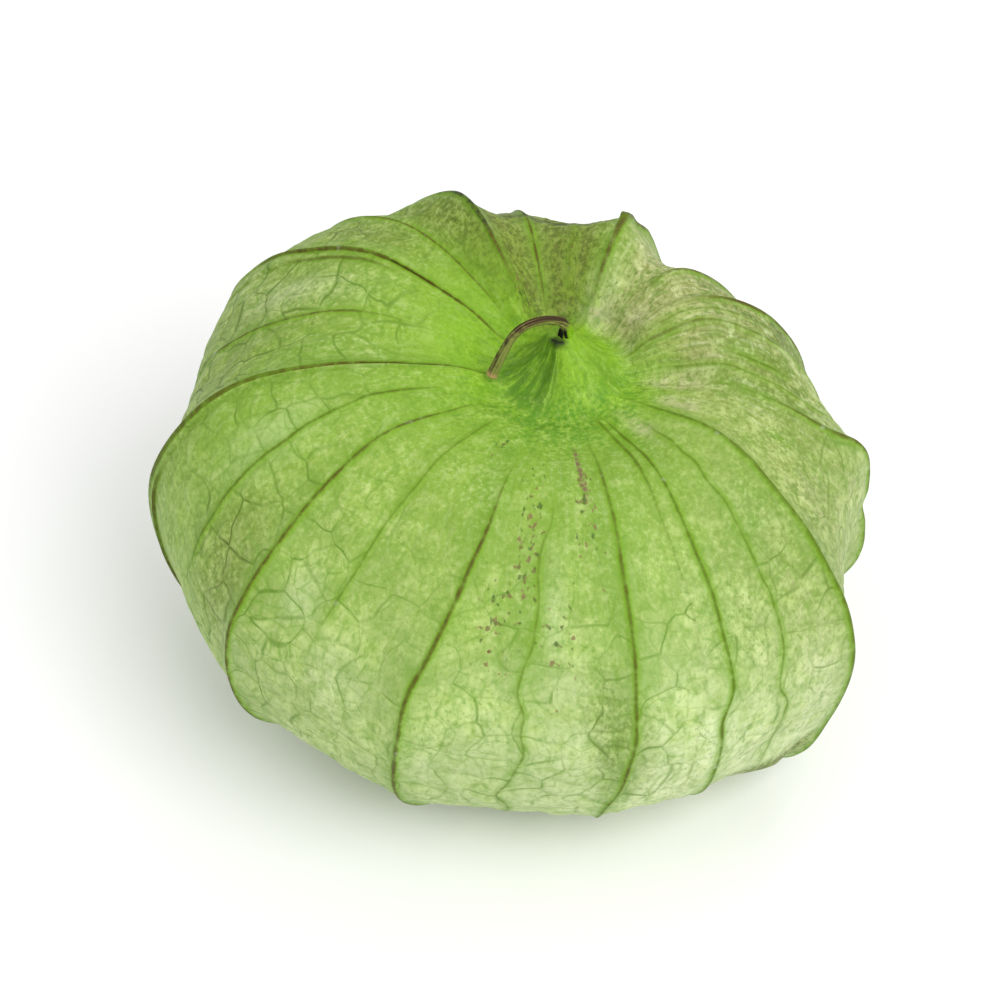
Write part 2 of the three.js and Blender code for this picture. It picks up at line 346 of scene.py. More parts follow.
class Net:
    """Cells round jittered sites, one site a square of a lattice in each gap's own coordinates, counted in
    cells. Each pair of sites has its own strength for the line between them."""

    REACH = 2  # how many squares away a nearest site may be
    TABLE = 97  # the random sites repeat after so many squares
    ROW_STEP, COLUMN_STEP = 13, 29  # how far apart the sites of two neighbouring gaps are in the table
    SHUFFLE = 3.7  # draws a line's strength from the lots of its two sites

    def __init__(self, seed, spread, faint):
        draw = np.random.default_rng(seed)
        self.jitter = 0.5 + draw.uniform(-spread / 2, spread / 2, (self.TABLE, self.TABLE, 2))
        self.lot = draw.uniform(0, 1, (self.TABLE, self.TABLE))
        self.faint = faint

    def nearest_three(self, places, gap):
        """The three nearest sites (..., 3, 2) of each place, and the strengths (..., 3) of the lines
        between them: first the line that the first site has no part in."""
        steps = np.arange(-self.REACH, self.REACH + 1)
        around = joined(*np.meshgrid(steps, steps, indexing="ij")).reshape(-1, 2)
        squares = np.floor(places).astype(int)[..., None, :] + around
        row = (squares[..., 0] + self.ROW_STEP * gap[..., None]) % self.TABLE
        column = (squares[..., 1] + self.COLUMN_STEP * gap[..., None]) % self.TABLE
        sites = squares + self.jitter[row, column]
        order = np.argsort(np.linalg.norm(sites - places[..., None, :], axis=-1), axis=-1)[..., :3]
        three = np.take_along_axis(sites, order[..., None], axis=-2)
        lot = np.take_along_axis(self.lot[row, column], order, axis=-1)
        drawn = np.mod((lot.sum(axis=-1, keepdims=True) - lot) * self.SHUFFLE, 1)
        others = np.roll(three, -1, axis=-2) - np.roll(three, 1, axis=-2)
        far_apart = ease(np.linalg.norm(others, axis=-1), 0.25, 0.8)
        return three, (self.faint + (1 - self.faint) * drawn) * far_apart

    def powers(self, places, three, middle):
        """Half the squared distance from each place to each site, less a part that all sites share: the
        difference of two is the distance to the line between them, and is exact between vertices."""
        local = places[..., None, :] - middle[..., None, :]
        toward = three - middle[..., None, :]
        return 0.5 * (toward**2).sum(axis=-1) - (local * toward).sum(axis=-1)

    def over_faces(self, corners, gap):
        """The powers (..., 4, 3) of each face's corners for the three sites nearest to its middle, and the
        strengths of the lines between those."""
        middle = corners.mean(axis=-2)
        three, strengths = self.nearest_three(middle, gap)
        power = self.powers(corners, three[..., None, :, :], middle[..., None, :])
        return power, np.broadcast_to(strengths[..., None, :], power.shape)

    def cushion(self, places, gap):
        """0 on the net's lines and 1 in the middle of its cells."""
        three, _ = self.nearest_three(places, gap)
        own = np.sort(self.powers(places, three, places), axis=-1)
        return ease(own[..., 1] - own[..., 0], 0, 0.35)


# ---- meshes


def placed(name, data):
    """A new object in the scene, at the origin."""
    item = bpy.data.objects.new(name, data)
    scene.collection.objects.link(item)
    return item


def make_piece(name, grid, top, bottom, point_data, corner_data):
    """A closed surface from rows of points (rows, columns, 3) that each run counter-clockwise as seen from
    the top pole, with a pole at either end. point_data and corner_data are vectors for materials: at the
    poles the first are the mean of the row beside, and the second are given."""
    rows, columns = grid.shape[:2]
    points = np.concatenate([[top], grid.reshape(-1, 3), [bottom]])
    here = 1 + np.arange(rows * columns).reshape(rows, columns)
    onward = np.roll(here, -1, axis=1)
    quads = joined(here[:-1], here[1:], onward[1:], onward[:-1]).reshape(-1, 4)
    upper = joined(0, here[0], onward[0])
    lower = joined(here[-1], len(points) - 1, onward[-1])
    mesh = bpy.data.meshes.new(name)
    mesh.from_pydata(points.tolist(), [], upper.tolist() + quads.tolist() + lower.tolist())
    mesh.polygons.foreach_set("use_smooth", np.ones(len(mesh.polygons), bool))

    def add_layer(label, place, *parts):
        values = np.concatenate(parts).astype(np.float32)
        mesh.attributes.new(label, "FLOAT_VECTOR", place).data.foreach_set("vector", values.ravel())

    for label, values in point_data.items():
        first, last = values[:1].mean(axis=1), values[-1:].mean(axis=1)
        add_layer(label, "POINT", first, values.reshape(-1, 3), last)
    for label, (values, at_poles) in corner_data.items():
        fan = np.broadcast_to(at_poles, (3 * columns, 3))
        add_layer(label, "CORNER", fan, values.reshape(-1, 3), fan)
    mesh.update()
    return placed(name, mesh)


# ---- the husk

# Patches of the husk: azimuth and half its width in degrees, station and half its length, strength.
SPECKLES = [
    (261, 6, 4.3, 1.3, 1), (276, 6, 4, 1, 0.95), (268, 9, 5.2, 1.2, 0.5),
    (244, 4, 3.3, 0.6, 0.9), (118, 14, 2.5, 0.9, 0.9), (50, 16, 2.9, 0.9, 0.45),
    (340, 7, 2.8, 0.8, 0.4), (214, 6, 3.4, 1, 0.2), (256, 6, 5, 0.8, 0.85),
    (84, 26, 3.2, 1.5, 0.4),
]
# Pale patches: partly the paper's own pale and partly painted light, where the husk is to look brighter
# lit.
PALE_AND_LIT_PATCHES = [
    (350, 9, 6.2, 1.2, 0.9), (350, 4, 5.3, 0.5, 0.7), (50, 14, 4, 1.9, 0.5),
    (57, 13, 2.7, 1, 0.9), (305, 12, 6.95, 0.28, 1), (312, 13, 6.4, 1.3, 1),
    (292, 10, 6.3, 0.9, 1.3), (229, 12, 6, 0.9, 0.6), (210, 7, 6.2, 0.9, 0.7),
    (244, 9, 6.5, 0.6, 0.7), (260, 9, 6.7, 0.6, 0.4), (221, 7, 5.35, 0.6, 0.45),
    (198, 8, 4.75, 0.9, 0.45), (220, 14, 6.9, 0.7, 0.55), (267, 4, 5.1, 0.9, 0.55),
    (161, 8, 4.6, 1, 0.5),
]
OLIVE_PATCHES = [
    (96, 38, 3.7, 3.2, 2.2), (168, 40, 5.2, 2.2, 0.38), (127, 12, 3.8, 1.6, 0.6),
    (12, 6, 5.3, 0.9, 1.4), (353, 13, 4.6, 1.2, 0.35), (206, 12, 5.6, 1.2, 0.45),
    (325, 42, 5.2, 2.6, 0.35), (139, 12, 4.2, 1.2, 0.5), (276, 8, 6.1, 1.1, 0.55),
    (20, 30, 5, 1.5, 0.35), (311, 13, 7.45, 0.42, 1.6), (-4, 4, 6.75, 0.45, 0.9),
]
# Deeper green patches: partly the paper's own tone and partly painted shade, as in the dip round the collar
# and along a rib on the left.
DEEP_AND_SHADE_PATCHES = [
    (279, 9, 4.3, 1.6, 0.8), (247, 12, 3.3, 1.1, 0.9), (300, 12, 3.4, 0.9, 0.7),
    (262, 9, 4.9, 1.3, 0.6), (2, 8, 4.3, 0.9, 1), (334, 44, 1.6, 1, 1.2),
    (266, 76, 2.4, 1.4, 1.15), (187, 7, 4.3, 1.8, 0.7), (275, 6, 6.1, 1.4, 0.75),
    (276, 32, 3.8, 1.5, 0.6), (350, 14, 4.2, 1.1, 0.9), (312, 10, 4.6, 0.8, 1),
    (188, 10, 3.9, 0.8, 0.7), (206, 10, 3.3, 0.8, 0.5), (180, 9, 4.15, 0.7, 0.75),
    (250, 10, 3.9, 0.9, 0.85), (342, 10, 4.8, 1.3, 0.7), (322, 11, 5.1, 1.3, 0.6),
    (300, 12, 5, 1.2, 0.4),
]
CRUMPLES = [
    (14, 16, 4.6, 1, 1), (38, 14, 3.5, 0.7, 0.5), (356, 10, 5.1, 0.8, 0.5),
]
BLUSH_PATCHES = [
    (350, 9, 3.1, 0.8, 1), (333, 11, 3.35, 0.6, 0.8), (309, 7, 3.1, 0.7, 0.9),
    (58, 24, 2.4, 0.8, 1.1), (28, 14, 2.8, 0.5, 0.8), (325, 40, 5, 2.6, 0.25),
]


def husk_relief(base, azimuth, station, run, lines, columns, pillow):
    """Height of the husk's own surface over its plain panels: a keel along each rib that dies away beside
    it, a raised cord on every line, long wrinkles of noise stretched along the husk, broad creases and
    small crumples of plain noise, soft cushions in the net, and the folds."""
    line, after = columns.gap, lines.after[columns.gap]
    left, right = columns.before, columns.behind
    free = ease(station, 2.4, 4.4) * (1 - ease(station, 8, 9))
    wide = ease(columns.width, 0.6, 3.5)
    keels, drawn = lines.keel.T, lines.ink * lines.fade.T
    keel = keels[:, line] * np.exp(-left / KEEL_SPREAD) + keels[:, after] * np.exp(-right / KEEL_SPREAD)
    cord = np.maximum(
        drawn[:, line] * np.exp(-((left / CORD_HALF_WIDTH) ** 2)),
        drawn[:, after] * np.exp(-((right / CORD_HALF_WIDTH) ** 2)),
    )
    open_panel = ease(np.minimum(left, right), 0.1, 1.4)
    papery = sector(azimuth, 24, 60)
    stretched = joined(azimuth * 0.5, run * 0.15, 0)
    long_wrinkles = soft_noise(stretched, 1, 11) + 0.6 * soft_noise(stretched, 0.5, 12)
    creases = soft_noise(base, 5.5, 13) + 0.5 * soft_noise(base, 2.4, 14)
    crumpled = patches(CRUMPLES, azimuth, station)
    relief = free * wide * (keel - KEEL_SINKS) + CORD_HEIGHT * cord
    relief += free * open_panel * (0.05 + 0.14 * papery) * long_wrinkles
    relief += free * open_panel * (0.22 * creases + (0.06 + 0.22 * crumpled) * soft_noise(base, 1.1, 15))
    relief += CUSHION_HEIGHT * pillow * free * open_panel
    for fold in FOLDS:
        relief += patch(azimuth, station, *fold)
    return relief


def collar_relief(azimuth, station):
    """Height over the collar's plain cone: uneven ridges that run down it from the stem and fade out in the
    dip round it, a broad swell to one side and a hollow under the stem."""
    turn = np.radians(azimuth)
    near = (1 - ease(station, 1.2, 2.6)) * ease(station, -0.1, 0.9)
    broad_ridges = 0.06 * np.cos(7 * turn + 1.3 * np.sin(2 * turn))
    fine_ridges = 0.05 * np.cos(13 * turn + 0.8 * np.sin(3 * turn))
    swell = patch(azimuth, station, 318, 70, 1.6, 1.4, 0.6)
    hollow = patch(azimuth, station, 232, 60, 1.1, 1, -0.6)
    return near * (broad_ridges + fine_ridges) + swell + hollow


def tip_relief(grid, station):
    """How far the underside is drawn up round the tip: five deep seams that twist as they near it."""
    azimuth = np.arctan2(grid[..., 1], grid[..., 0])
    radius = np.hypot(grid[..., 0], grid[..., 1])
    seam = np.abs(np.sin(2.5 * (azimuth + 0.5 * (1 - radius / 8))))
    near = ease(station, 9.4, 10.6)
    folds = np.cos(17 * azimuth + 2 * np.sin(5 * azimuth))
    return near * (1.3 * (1 - seam) ** 3 + 0.1 * folds) * ease(radius, 0, 1.5)


def husk_tones(base, azimuth, station):
    """How young, how pale and how olive each point is, from 0 to 1 each. The young green is partly a
    painted glow near the stem, and the pale is partly painted highlight.
    """
    radius = np.hypot(base[..., 0], base[..., 1])
    drift = soft_noise(base, 7, 21) + 0.5 * soft_noise(base, 3, 22)
    warm_side = np.cos(np.radians(turned(azimuth, 185)))
    # Yellow-green near the stem: partly the young paper's own colour and partly a painted glow of light
    # through the thin paper.
    young = 1 - ease(radius + 1.5 * drift, 5.5, 16.5 + 3 * warm_side)
    young = np.maximum(young, patch(azimuth, station, 190, 26, 5.5, 2.4, 0.5))
    young = young * (1 - 0.9 * sector(azimuth, 34, 48) * ease(station, 1.5, 2.6))
    # Paler toward the flanks, most at the front right where the key light falls: partly the paper's own
    # pale and partly painted highlight.
    pale = ease(station + 0.3 * drift, 4.2, 7.2) * (0.35 + 0.65 * sector(azimuth, 296, 90))
    pale = np.maximum(pale, patches(PALE_AND_LIT_PATCHES, azimuth, station))
    olive = sum(patch(azimuth, station, *row) for row in OLIVE_PATCHES)
    return joined(young, pale, np.clip(olive + 0.08 * drift, 0, 1))


def husk_marks(base, azimuth, station):
    """How dusty, how speckled and how strongly netted each point is, from 0 to 1 each."""
    dusty_to = 2.8 - 0.8 * sector(azimuth, 52, 30)
    dusty = sector(azimuth, 22, 62) * ease(station, 1.5, dusty_to)
    dusty = np.minimum(1.5 * dusty, 1) * (1 - 0.6 * ease(station, 4.4, 5.4))
    left = sector(azimuth, 172, 80)
    nearer = 1.2 * np.maximum(left, sector(azimuth, 98, 50))
    net = ease(station, 3.4 - nearer, 5.4 - nearer) * (1 - 0.6 * ease(station, 9, 10))
    net = net * (0.58 + 0.42 * left + 0.22 * soft_noise(base, 6, 31))
    net = net * (1 - patch(azimuth, station, 189, 11, 5.7, 1.2, 0.8))
    return joined(dusty, patches(SPECKLES, azimuth, station), np.clip(net, 0, 1))


def husk_shade(azimuth, station):
    """How shaded the collar is on the side that the stem bends over, as painted shade; how deep a green the
    rest is, partly its own tone and partly painted shade, as in the dip round the collar; and how much it
    blushes, from 0 to 1 each."""
    shaded = ease(azimuth, 140, 190) * (1 - ease(azimuth, 250, 264)) * bump(station, 1, 1.6)
    return joined(shaded, patches(DEEP_AND_SHADE_PATCHES, azimuth, station), patches(BLUSH_PATCHES, azimuth, station))


def collar_shadow_and_marks(azimuth, station):
    """How near black each point is, from 0 to 1: painted shadow on the collar's top beside the foot of the
    stem, under the stem's arch, and fainter the rim of the crest at the back. Then how rough and grassy the
    ring round the collar is, most of all in front, and how crumpled the paper is."""
    # Painted shadow under the stem's arch, on the collar's top beside the stem's foot.
    root = np.minimum(1.6 * sector(azimuth, 250, 62) * (1 - ease(station, 0.05, 0.45)), 1)
    root = np.maximum(root, patch(azimuth, station, 93, 36, 4.04, 0.13, 0.55))
    grassy = bump(station, 2.35, 1.35) * (0.1 + 0.9 * sector(azimuth, 278, 115))
    return joined(root, grassy, patches(CRUMPLES, azimuth, station))


def husk_piece(to_frame):
    """The husk: its plain panels, raised along their normals by its relief and drawn up round the tip."""
    stations = even_stations(ROWS)[:-1]
    station = stations[:, None]
    ribs, leans = rib_curves(stations)
    lines = Lines(stations)
    columns = Columns(lines, ribs)
    base = panel_points(ribs, leans, columns.panel, columns.share)
    steps = np.linalg.norm(np.diff(base, axis=0), axis=-1)
    run = np.concatenate([0 * steps[:1], np.cumsum(steps, axis=0)])

    # The net's coordinates: millimetres across and down, where cells near the stem are longer.
    longer = 1.8 - 0.8 * ease(station, 2, 4.4)
    down = np.concatenate([0 * steps[:1], np.cumsum(steps / longer[1:], axis=0)])
    warp = [0.6 * soft_noise(base, 3.2, seed) + 0.3 * soft_noise(base, 1.1, seed + 2) for seed in (41, 42)]
    here = joined(columns.before + warp[0], down + warp[1])
    onward = joined(columns.before_next + np.roll(warp[0], -1, axis=1), np.roll(here[..., 1], -1, axis=1))
    corners = np.stack([here[:-1], here[1:], onward[1:], onward[:-1]], axis=-2)
    gap = np.broadcast_to(columns.gap, here.shape[:2])
    nets = ("net", Net(57, 0.7, 0.4), CELL, 1), ("small_net", Net(52, 0.8, 0.3), SMALL_CELL, 0.5)
    corner_data, pillow = {}, 0
    for name, net, cell, height in nets:
        power, strength = net.over_faces(corners / cell, gap[1:])
        corner_data[name] = power, (0, NO_LINE, NO_LINE)
        corner_data[name + "_strength"] = strength, (0, 0, 0)
        pillow += height * net.cushion(here / cell, gap)

    nearest = np.where(columns.before <= columns.behind, columns.gap, lines.after[columns.gap])
    ink = np.take_along_axis(lines.ink * lines.fade.T, nearest, axis=1)

    azimuth = np.degrees(np.arctan2(base[..., 1], base[..., 0]))
    azimuth = AZIMUTH[0] + (azimuth - azimuth[:, :1]) % 360
    relief = husk_relief(base, azimuth, station, run, lines, columns, pillow)
    relief += collar_relief(azimuth, station)
    grid = base + relief[..., None] * outward_normals(base)
    grid[..., 2] += tip_relief(grid, station)
    grid[..., 2] = np.maximum(grid[..., 2], 0)

    point_data = {
        "line": joined(np.minimum(columns.before, columns.behind), ink, lines.brown[nearest]),
        "tone": husk_tones(base, azimuth, station),
        "marks": husk_marks(base, azimuth, station),
        "shade": husk_shade(azimuth, station),
        "rough": collar_shadow_and_marks(azimuth, station),
        "place": joined(azimuth, run, station),
    }
    top, tip = (0, 0, COLLAR_TOP), (0, 0, TIP_HEIGHT + 0.4)
    return make_piece("husk_paper", to_frame(grid), to_frame(top), to_frame(tip), point_data, corner_data)


def fit_to_frame():
    """The step from millimetres on the husk's axis to the frame's metres: the plain husk made as wide as
    the frame's husk, centred on it and set on its underside."""
    stations = np.linspace(0, FOOT_STATION, 28)
    ribs, leans = rib_curves(stations)
    panel = np.repeat(np.arange(len(RIBS)), 4)
    share = np.broadcast_to(np.tile(np.arange(4) / 4, len(RIBS)), (len(stations), len(panel)))
    plain = panel_points(ribs, leans, panel, share)
    own_low, own_high = plain.min(axis=(0, 1)), plain.max(axis=(0, 1))
    low, high = (np.array(corner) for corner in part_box("husk"))
    scale = (high - low)[0] / (own_high - own_low)[0]
    shift = (low + high) / 2 - scale * (own_low + own_high) / 2
    shift[2] = low[2]
    return lambda points: scale * np.asarray(points, float) + shift


# ---- the stem

# The stem's centre line, measured from the top of the collar, and its radius at each of those points.
STEM_LINE = np.array([
    (0.3, 0, -0.9), (0.35, 0, 0.3), (0.38, 0, 0.8),
    (-0.15, -0.05, 1.4), (-1.4, -0.28, 1.73), (-2.75, -0.68, 1.6),
    (-3.9, -1.1, 0.8), (-4.8, -1.55, -0.8), (-5.65, -2, -2.75),
])
STEM_RADII = np.array([0.78, 0.58, 0.46, 0.34, 0.35, 0.37, 0.37, 0.38, 0.44])
STEM_ROWS, STEM_COLUMNS = 130, 56


def stem_piece(to_frame):
    """The stem: a tube round a curve through its centre points. Its radius follows the list, and swells by
    long ridges that twist a little, by noise, by lobes at the foot and by rough noise near the cut end,
    which is a dished disc."""
    count = len(STEM_LINE)
    at = np.linspace(0, count - 1, STEM_ROWS)
    centre = spline(STEM_LINE[None], at)[0] + (0, 0, COLLAR_TOP)
    radius = np.interp(at, np.arange(count), STEM_RADII)
    along = unit(np.gradient(centre, axis=0))
    side = unit(np.cross(along, (0.32, -0.95, 0)))
    other = np.cross(along, side)
    turn = np.linspace(0, 2 * np.pi, STEM_COLUMNS, endpoint=False)
    round_x, round_y = np.cos(turn), np.sin(turn)
    ring = round_x[:, None] * side[:, None] + round_y[:, None] * other[:, None]
    twist = turn + 0.25 * at[:, None]
    place = joined(round_x, round_y, 0.35 * at[:, None])
    swell = 0.07 * np.cos(5 * twist) + 0.04 * np.cos(9 * twist + 1.3) + 0.05 * soft_noise(place, 0.35, 61)
    lobes = 0.12 * np.cos(6 * turn + 0.7) * (1 - ease(at, 0.2, 2.2))[:, None]
    ragged = 0.1 * soft_noise(place * (3, 3, 0), 0.8, 62) * ease(at, count - 1.6, count - 1)[:, None]
    tube = centre[:, None] + ring * (radius[:, None] * (1 + swell + lobes + ragged))[..., None]
    end, rim = centre[-1], tube[-1] - centre[-1]
    caps = [end + share * rim + push * along[-1] for share, push in ((0.86, 0.1), (0.45, 0.02))]
    # Rows have to run counter-clockwise as seen from make_piece's top pole, here the sunken foot.
    grid = np.concatenate([tube, np.stack(caps)])[:, ::-1]
    upper = outward_normals(grid)[..., 2]
    cut = np.concatenate([ease(at, count - 1.35, count - 0.95), [1, 1]])[:, None]
    foot = np.concatenate([1 - ease(at, 1.6, 2.7), [0, 0]])[:, None]
    run = np.concatenate([at, [count, count]])[:, None]
    point_data = {"bark": joined(upper, cut, foot), "grain": joined(round_x, round_y, 0.6 * run)}
    poles = to_frame(centre[0]), to_frame(end - 0.04 * along[-1])
    return make_piece("stem_bark", to_frame(grid), *poles, point_data, {})


# ---- materials


def paint(red, green, blue):
    """A colour as screens count it, from 0 to 255, as the light that materials count in."""
    share = np.array([red, green, blue]) / 255
    light = np.where(share <= 0.04045, share / 12.92, ((share + 0.055) / 1.055) ** 2.4)
    return (*light, 1)


class Finish:
    """A material's graph. Most methods add nodes and give back what these put out."""

    def __init__(self, name):
        self.material = bpy.data.materials.new(name)
        self.material.use_nodes = True
        self.tree = self.material.node_tree
        self.surface = self.tree.nodes["Principled BSDF"]

    def node(self, kind, inputs, **settings):
        """A new node's outputs, once it is set and fed."""
        node = self.tree.nodes.new("ShaderNode" + kind)
        for key, value in settings.items():
            setattr(node, key, value)
        for socket, value in inputs.items():
            self.feed(node.inputs[socket], value)
        return node.outputs

    def feed(self, socket, value):
        """Links an output to a socket, or sets a plain value on it."""
        if isinstance(value, bpy.types.NodeSocket):
            self.tree.links.new(value, socket)
        else:
            socket.default_value = value

    def look(self, name, value):
        """Feeds one of the surface's own sockets."""
        self.feed(self.surface.inputs[name], value)

    def millimetres(self):
        """The place on the object, its metres times 1000."""
        place = self.node("TexCoord", {})["Object"]
        return self.node("VectorMath", {0: place, "Scale": 1000}, operation="SCALE")[0]

    def vector(self, name):
        """The mesh's data of that name."""
        return self.node("Attribute", {}, attribute_name=name)["Vector"]

    def data(self, name):
        """The same as three numbers."""
        return self.node("SeparateXYZ", {0: self.vector(name)})

    def math(self, operation, *values):
        """One operation on up to three numbers."""
        return self.node("Math", dict(enumerate(values)), operation=operation)[0]

    def fold(self, operation, values):
        """The operation on the first two, then on what that gives and the third, and so on."""
        return reduce(lambda total, value: self.math(operation, total, value), values)

    # Folds of numbers.

    def times(self, *values):
        return self.fold("MULTIPLY", values)

    def plus(self, *values):
        return self.fold("ADD", values)

    def minus(self, *values):
        return self.fold("SUBTRACT", values)

    def step(self, value, low, high, to_low=0, to_high=1):
        """Eases from to_low, where the value is low, to to_high, where it is high."""
        inputs = {"Value": value, "From Min": low, "From Max": high, "To Min": to_low, "To Max": to_high}
        return self.node("MapRange", inputs, interpolation_type="SMOOTHSTEP")[0]

    def noise(self, vector, scale, detail, roughness, warp=0):
        """Noise from 0 to 1: scale lumps a unit, and detail octaves of finer ones."""
        inputs = {"Scale": scale, "Detail": detail, "Roughness": roughness, "Distortion": warp}
        return self.node("TexNoise", {"Vector": vector, **inputs})["Fac"]

    def cells(self, vector, scale):
        """The distance to the nearest of scattered points, about scale of them a unit."""
        return self.node("TexVoronoi", {"Vector": vector, "Scale": scale})["Distance"]

    def mix(self, share, low, high):
        """The low colour, gone over to the high one by a share."""
        return self.node("Mix", {0: share, 6: low, 7: high}, data_type="RGBA")[2]

    def coat(self, tint, *shares):
        """Lays a tint over the colour so far, by the product of its shares."""
        self.colour = self.mix(self.times(*shares), self.colour, tint)

    def scaled(self, vector, x, y, z):
        """A vector with each component scaled."""
        return self.node("VectorMath", {0: vector, 1: (x, y, z)}, operation="MULTIPLY")[0]

    def raised(self, height, distance, strength):
        """The surface's normal if a height of 1 stands that distance, in metres, over 0."""
        inputs = {"Height": height, "Distance": distance, "Strength": strength}
        return self.node("Bump", inputs)["Normal"]


# Painted shade: the darker green of the upper husk, where the light from above falls strongest.
TOP_SHADE = paint(130, 160, 59)
LEAF = paint(151, 178, 84)
LEAF_DEEP = paint(127, 156, 63)
# Yellow-green near the stem, partly a painted glow of light through the paper.
YOUNG = paint(124, 170, 24)
# Pale paper, partly its own colour and partly painted highlight.
PALE = paint(208, 220, 172)
OLIVE = paint(120, 134, 54)
DUSTY = paint(157, 153, 105)
DUST = paint(204, 206, 171)
STRAW_SHADE = paint(112, 122, 56)
BLUSH = paint(186, 180, 142)
# Deeper green, also used as painted shade in hollows and beside the ribs.
DEEP = paint(104, 144, 40)
CELL_GREEN = paint(106, 146, 44)
NET_GREEN = paint(86, 124, 26)
# Vivid green beside the threads: partly the veins' own green and partly painted shade on the keels' sides.
HALO_GREEN = paint(105, 148, 10)
LINE_GREEN = paint(84, 109, 12)
LINE_BROWN = paint(79, 69, 17)
LINE_BLACK = paint(40, 38, 16)
# Painted highlight: silvery glints on the rib threads.
GLINT_SILVER = paint(176, 186, 160)
# Dark green of the crumbs, also painted shade in the crumples' blotches.
CRUMB_GREEN = paint(58, 84, 24)
CRUMB_PURPLE = paint(118, 88, 62)
DOT_BROWN = paint(92, 62, 36)
SCAR = paint(112, 74, 70)
NET_BROWN = paint(72, 70, 24)
# Near black: painted shadow under the stem's arch, on the collar's top and the stem's inner foot, and the
# dark rim of the back crest.
ROOT = paint(8, 12, 5)
GRASS = paint(78, 134, 30)
GREEN_SHADE = paint(86, 128, 30)
COLLAR_SHADE = paint(62, 104, 16)
MOTTLE_LIGHT = paint(206, 220, 150)
STREAK_LIGHT = paint(176, 214, 84)
TIP_BROWN = paint(140, 116, 66)
STEM_OLIVE = paint(132, 140, 68)
STEM_BROWN = paint(60, 46, 24)
STEM_STRAW = paint(152, 134, 86)
STEM_BLACK = paint(28, 20, 12)
CUT_WOOD = paint(206, 164, 118)
FLOOR_GREY = paint(236, 236, 236)
FLOOR_LIGHT = paint(242, 242, 242)

SCAR_AZIMUTH, SCAR_LEAN = 273.4, 0.155  # in degrees, and how many more it gains a millimetre down
SCAR_START, SCAR_END = 10.6, 18  # millimetres down from the collar


def net_gap(mat, name):
    """How far the line between the two nearest sites is, in cells: the middle power less the lowest. Then
    how strong that line is: the strength kept with the farthest site."""
    times, plus, minus = mat.times, mat.plus, mat.minus
    first, second, third = mat.data(name)
    kept = mat.data(name + "_strength")
    lowest = mat.fold("MINIMUM", (first, second, third))
    highest = mat.fold("MAXIMUM", (first, second, third))
    middle = minus(plus(first, second, third), plus(lowest, highest))
    first_is_far = mat.math("COMPARE", first, highest, 1e-5)
    second_is_far = mat.math("COMPARE", second, highest, 1e-5)
    third_is_far = minus(1, mat.math("MAXIMUM", first_is_far, second_is_far))
    strength = plus(
        times(first_is_far, kept[0]),
        times(second_is_far, minus(1, first_is_far), kept[1]),
        times(third_is_far, kept[2]),
    )
    return minus(middle, lowest), strength


